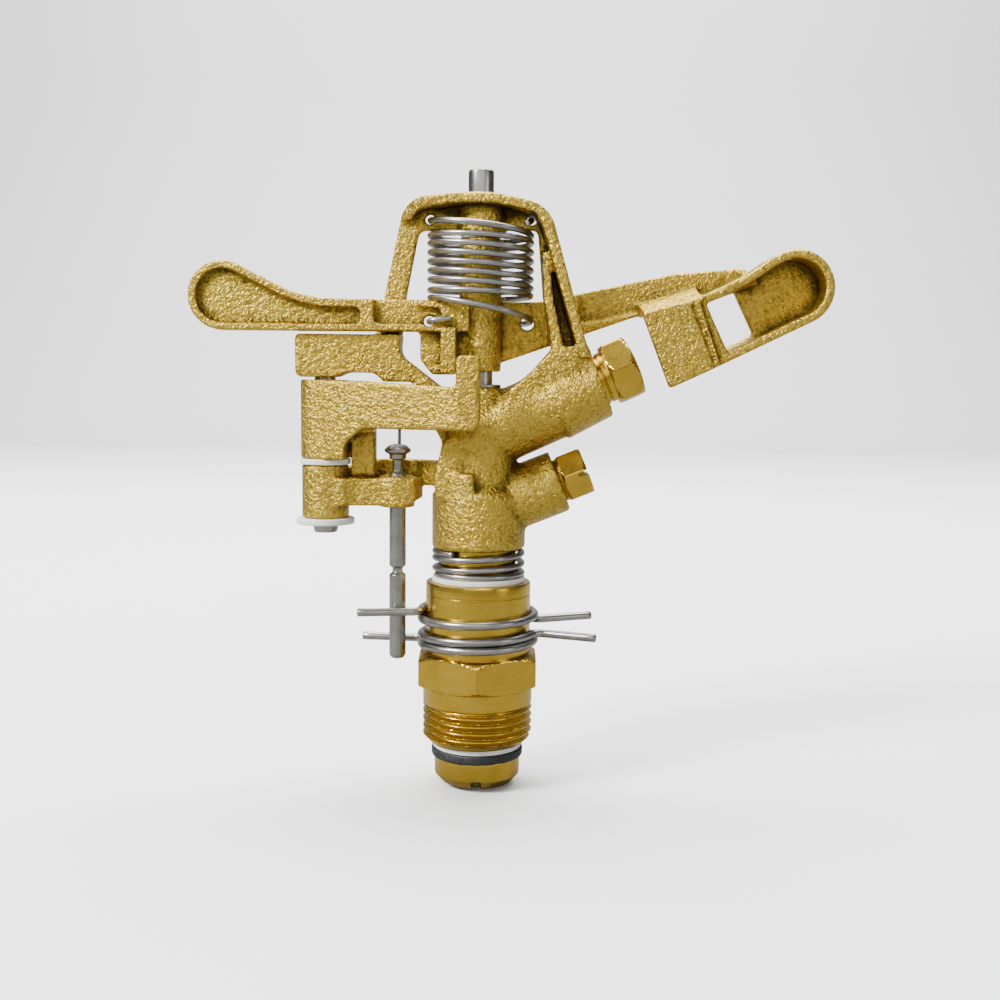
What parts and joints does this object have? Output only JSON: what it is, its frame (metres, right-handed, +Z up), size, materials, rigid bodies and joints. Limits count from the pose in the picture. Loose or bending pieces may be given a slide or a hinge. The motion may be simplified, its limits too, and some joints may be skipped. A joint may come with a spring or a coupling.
{
  "type": "impact sprinkler",
  "caption": "Brass part-circle impact sprinkler: sprung drive arm with jet spoon on a fulcrum pin, reversing lever, trip pin, arc clips, nozzle, plug and a threaded swivel inlet.",
  "frame": {"origin": "On the turning axis, at the lower shoulder of the inlet hexagon, where the thread starts.", "axes": "+Z up along the turning axis, +X the side the main jet leaves by, -Y the side of the reversing lever's finger."},
  "size_m": [0.1508, 0.0347, 0.1462],
  "materials": {
    "cast_brass": "sand-cast brass, pebbly grain, satin",
    "machined_brass": "turned and milled brass, bright with fine tool lines",
    "steel_wire": "drawn stainless steel spring wire",
    "steel_pin": "turned stainless steel",
    "white_nylon": "white nylon, matt",
    "black_rubber": "black rubber, matt"
  },
  "bodies": {
    "inlet": {"inlet_nipple": "machined_brass", "top_thrust_washer": "white_nylon", "thrust_spring": "steel_wire"},
    "lower_clip": {"lower_arc_clip": "steel_wire"},
    "upper_clip": {"upper_arc_clip": "steel_wire"},
    "seal_stack": {"nylon_seal_washer": "white_nylon", "rubber_seal_washer": "black_rubber"},
    "head": {"bearing_sleeve": "machined_brass", "sprinkler_body": "cast_brass", "main_nozzle": "machined_brass", "slotted_plug": "machined_brass", "fulcrum_pin": "steel_pin", "arm_seat_washer": "steel_pin", "arm_top_washer": "white_nylon", "arm_spring": "steel_wire", "pivot_pin": "steel_pin", "upper_pivot_washer": "white_nylon", "lower_pivot_washer": "white_nylon"},
    "arm": {"impact_arm": "cast_brass"},
    "reverse": {"reverse_lever": "cast_brass"},
    "trip": {"trip_lever": "cast_brass", "trip_spring": "steel_wire"},
    "trip_pin": {"trip_pin": "steel_pin"}
  },
  "joints": [
    {"name": "lower_clip_turn", "type": "hinge", "parent": "inlet", "child": "lower_clip", "pos_m": [0, 0, 0.0117], "axis": [0, 0, 1], "continuous": true},
    {"name": "upper_clip_turn", "type": "hinge", "parent": "inlet", "child": "upper_clip", "pos_m": [0, 0, 0.0168], "axis": [0, 0, 1], "continuous": true},
    {"name": "head_press", "type": "slide", "parent": "inlet", "child": "seal_stack", "axis": [0, 0, 1], "range_m": [-0.002, 0], "stiffness_N_per_m": 2000, "springref_m": 0.005, "deforming": ["thrust_spring"]},
    {"name": "head_spin", "type": "hinge", "parent": "seal_stack", "child": "head", "pos_m": [0, 0, 0], "axis": [0, 0, 1], "continuous": true},
    {"name": "arm_swing", "type": "hinge", "parent": "head", "child": "arm", "pos_m": [0, 0, 0.09], "axis": [0, 0, 1], "range_deg": [0, 105], "stiffness_Nm_per_rad": 0.02, "springref_deg": -28.65, "deforming": ["arm_spring"]},
    {"name": "trip_swing", "type": "hinge", "parent": "head", "child": "trip", "pos_m": [-0.0368, 0, 0.063], "axis": [0, 0, 1], "range_deg": [0, 8.5]},
    {"name": "reverse_swing", "type": "hinge", "parent": "head", "child": "reverse", "pos_m": [-0.0368, 0, 0.063], "axis": [0, 0, 1], "range_deg": [0, 8.5]},
    {"name": "trip_pin_lift", "type": "slide", "parent": "trip", "child": "trip_pin", "axis": [0, 0, 1], "range_m": [0, 0.014]}
  ],
  "couplings": [
    {"joint": "trip_swing", "follows": "reverse_swing", "ratio": 1}
  ]
}
